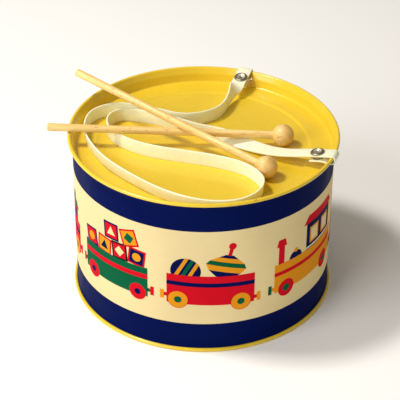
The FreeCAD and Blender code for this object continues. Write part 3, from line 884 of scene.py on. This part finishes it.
def make_tail(side):
    """The strap's end folded back under itself, from the slot to past the snap."""
    angle = ANCHORS[side]
    (r0, z0), (r1, z1) = END_ROUTE[2], END_ROUTE[-1]
    slope = (z1 - z0) / (r1 - r0)
    drop = LAYER_GAP * math.hypot(1.0, slope)
    line = [(TAIL_RADII[0], END_ROUTE[0][1])]
    line += [(radius, z0 + slope * (radius - r0) - drop) for radius in TAIL_RADII[1:]]
    points = spline_points([radial(angle, r, z) for r, z in line], 12)
    tail = ribbon(f"strap_end_{side}", points, [0.0] * len(points), f"tail_{side}")
    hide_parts(f"strap_tail_{side}")
    return tail


# ---------------------------------------------------------------------------------------------
# Snaps
# ---------------------------------------------------------------------------------------------
# the cap's painted highlight, a brighter copy of the same plating, is between its dimple and its ring
CAP_DIMPLE, CAP_DISH = 1.3, 3.3


def snap_matrix(side):
    """Frame on the middle of the strap's upper layer at the snap, Z square to the layer."""
    angle = ANCHORS[side]
    (r0, z0), (r1, z1) = END_ROUTE[2], END_ROUTE[-1]
    share = (r0 - SNAP_RADIUS) / (r0 - r1)
    along = (Vector(radial(angle, r1, z1)) - Vector(radial(angle, r0, z0))).normalized()
    across = Vector((0, 0, 1)).cross(along).normalized()
    normal = along.cross(across).normalized()
    centre = Vector(radial(angle, SNAP_RADIUS, z0 + share * (z1 - z0))) * MM
    turn = Matrix((along, across, normal)).transposed().to_4x4()
    return Matrix.Translation(centre) @ turn


def make_cap(side):
    """Snap cap: a rolled ring round a dished centre with a dimple, on its post."""
    half = STRAP_THICKNESS / 2
    profile = rounded_line([
        (0, half + 0.42, 0), (1.2, half + 0.45, 0.5), (1.9, half + 0.85, 0.5), (3.0, half + 1.05, 0.6),
        (3.7, half + 1.5, 0.7), (4.9, half + 1.42, 0.9), (5.7, half + 0.65, 0.6), (5.66, half + 0.02, 0.1),
        (1.5, half + 0.02, 0), (1.5, -1.3, 0), (0, -1.3, 0),
    ], 5)

    # faces on the cap's top between dimple and ring take the painted highlight material
    def dished(middle):
        on_top = middle.z > half + 0.1
        return int(on_top and CAP_DIMPLE < math.hypot(middle.x, middle.y) < CAP_DISH)

    cap = lathe(f"cap_{side}", profile, "drum", "snap_metal", ["snap", "snap_painted_highlight"],
                choose=dished, steps=64)
    cap.matrix_world = snap_matrix(side)
    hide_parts(f"snap_cap_{side}")
    return cap


# ---------------------------------------------------------------------------------------------
# Sticks
# ---------------------------------------------------------------------------------------------
STICKS = {
    "lower": ((64.1, 0.7, 137.0), (-125.1, -4.9, 145.75)),
    "upper": ((49.2, -48.3, 137.0), (-105.7, 58.7, 161.25)),
}
STICK_REACH = 190.0
DOWEL_RADIUS = 3.175
BALL_RADIUS = 9.0
# how much the dowel's radius wavers, and in how many steps along it
WAVER = 0.03
WAVER_STEPS = 40


def make_stick(name):
    """Birch dowel with a turned ball on its end. The stick's frame is on the ball's middle."""
    centre, towards = (Vector(place) for place in STICKS[name])
    turn = (towards - centre).to_track_quat("Z", "Y").to_matrix().to_4x4()
    place = Matrix.Translation(centre * MM) @ turn
    heights = [2 + 188 * i / WAVER_STEPS for i in range(WAVER_STEPS)]
    rod = [(0, -3.0), (DOWEL_RADIUS - 0.1, -3.0)]
    rod += [(DOWEL_RADIUS - WAVER + WAVER * math.sin(z * 0.21), z) for z in heights]
    end = [(DOWEL_RADIUS, STICK_REACH - 3, 0), (DOWEL_RADIUS, STICK_REACH, 0.8), (0, STICK_REACH, 0)]
    rod += rounded_line(end, 5)
    dowel = lathe(f"dowel_{name}", rod, f"stick_{name}", "bare_wood", ["dowel"], steps=48)
    dowel.matrix_world = place
    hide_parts(f"stick_{name}_dowel")
    # the bore's mouth has a small countersink round the dowel
    mouth = math.degrees(math.asin((DOWEL_RADIUS + 0.25) / BALL_RADIUS))
    sphere = [(0, -BALL_RADIUS)] + arc_points((0, 0), BALL_RADIUS, -86, 90 - mouth, 44)
    sphere += [(DOWEL_RADIUS + 0.02, BALL_RADIUS * 0.9), (DOWEL_RADIUS + 0.02, -3.4), (0, -3.4)]
    ball = lathe(f"ball_{name}", sphere, f"stick_{name}", "bare_wood", ["ball"], steps=72)
    ball.matrix_world = place
    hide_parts(f"stick_{name}_ball")
    return [dowel, ball]


# ---------------------------------------------------------------------------------------------
# Studio
# ---------------------------------------------------------------------------------------------
# metres, except for the lamps' powers and colours
FLOOR_HALF = 6.0
WORLD_COLOUR = (1.0, 0.93, 0.81, 1.0)
WORLD_STRENGTH = 0.28
LIGHT_TARGET = (0, 0, 0.10)
KEY_PLACE, KEY_SIZE, KEY_POWER, KEY_COLOUR = (-0.85, 0.0, 1.65), 0.30, 21, (255, 250, 242)
FRONT_PLACE, FRONT_SIZE, FRONT_POWER = (-1.30, -1.25, 1.15), 1.3, 26


def make_floor():
    """White paper under the drum."""
    mesh = bpy.data.meshes.new("floor")
    corners = box(-FLOOR_HALF, -FLOOR_HALF, FLOOR_HALF, FLOOR_HALF)
    mesh.from_pydata([(x, y, 0) for x, y in corners], [], [(0, 1, 2, 3)])
    floor = bpy.data.objects.new("floor", mesh)
    bpy.context.scene.collection.objects.link(floor)
    shader = Shader("floor_paper", 0.9, specular=0.1)
    shader.bsdf.inputs["Base Color"].default_value = linear((255, 255, 255))
    mesh.materials.append(shader.material)


def area_light(name, place, size, power, colour=(255, 255, 255)):
    """Square lamp that shines at the drum."""
    data = bpy.data.lights.new(name, "AREA")
    data.size = size
    data.energy = power
    data.color = linear(colour)[:3]
    lamp = bpy.data.objects.new(name, data)
    bpy.context.scene.collection.objects.link(lamp)
    lamp.location = place
    lamp.rotation_euler = (Vector(LIGHT_TARGET) - Vector(place)).to_track_quat("-Z", "Y").to_euler()


def light_studio():
    """Warm world light, a small lamp high on the left and a large soft one in front on the left."""
    world = bpy.data.worlds.new("studio")
    world.use_nodes = True
    background = world.node_tree.nodes["Background"]
    background.inputs["Color"].default_value = WORLD_COLOUR
    background.inputs["Strength"].default_value = WORLD_STRENGTH
    bpy.context.scene.world = world
    area_light("key", KEY_PLACE, KEY_SIZE, KEY_POWER, KEY_COLOUR)
    area_light("front", FRONT_PLACE, FRONT_SIZE, FRONT_POWER)


# the camera, in metres, millimetres of lens, and degrees of turn about its own line of sight
CAMERA_PLACE = (0.0, -1.04676, 0.75927)
CAMERA_TARGET = (-0.00246, 0.0, 0.07403)
LENS, SENSOR, ROLL = 135.5, 36.0, 0.526


def place_camera():
    """Long lens from the front and above, as in the photo."""
    data = bpy.data.cameras.new("camera")
    data.sensor_width = SENSOR
    data.lens = LENS
    camera = bpy.data.objects.new("camera", data)
    bpy.context.scene.collection.objects.link(camera)
    place = Vector(CAMERA_PLACE)
    aim = (Vector(CAMERA_TARGET) - place).to_track_quat("-Z", "Y").to_matrix().to_4x4()
    roll = Matrix.Rotation(math.radians(ROLL), 4, "Z")
    camera.matrix_world = Matrix.Translation(place) @ aim @ roll
    bpy.context.scene.camera = camera
    bpy.context.scene.view_settings.view_transform = "Standard"


# ---------------------------------------------------------------------------------------------
# Scene
# ---------------------------------------------------------------------------------------------
place_camera()
light_studio()
make_floor()

pieces = [make_shell(), make_seam()]
pieces.append(make_head("top_pressing", "top_head", TOP_RIM, True))
pieces.append(make_head("bottom_pressing", "bottom_head", BOTTOM_RIM, False))
pieces += make_frieze()
strap, strap_line = make_strap()
tails = [make_tail(side) for side in ANCHORS]
caps = [make_cap(side) for side in ANCHORS]
for name in STICKS:
    pieces += make_stick(name)
pieces += [strap, *tails, *caps]
for piece in pieces:
    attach(piece, piece["body"])

snap_nodes = [f"snap_{kind}_{side}" for side in ANCHORS for kind in ("socket", "stud", "eyelet")]
for node in snap_nodes:
    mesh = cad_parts[node].data
    mesh.materials.clear()
    mesh.materials.append(MATERIALS["snap"])
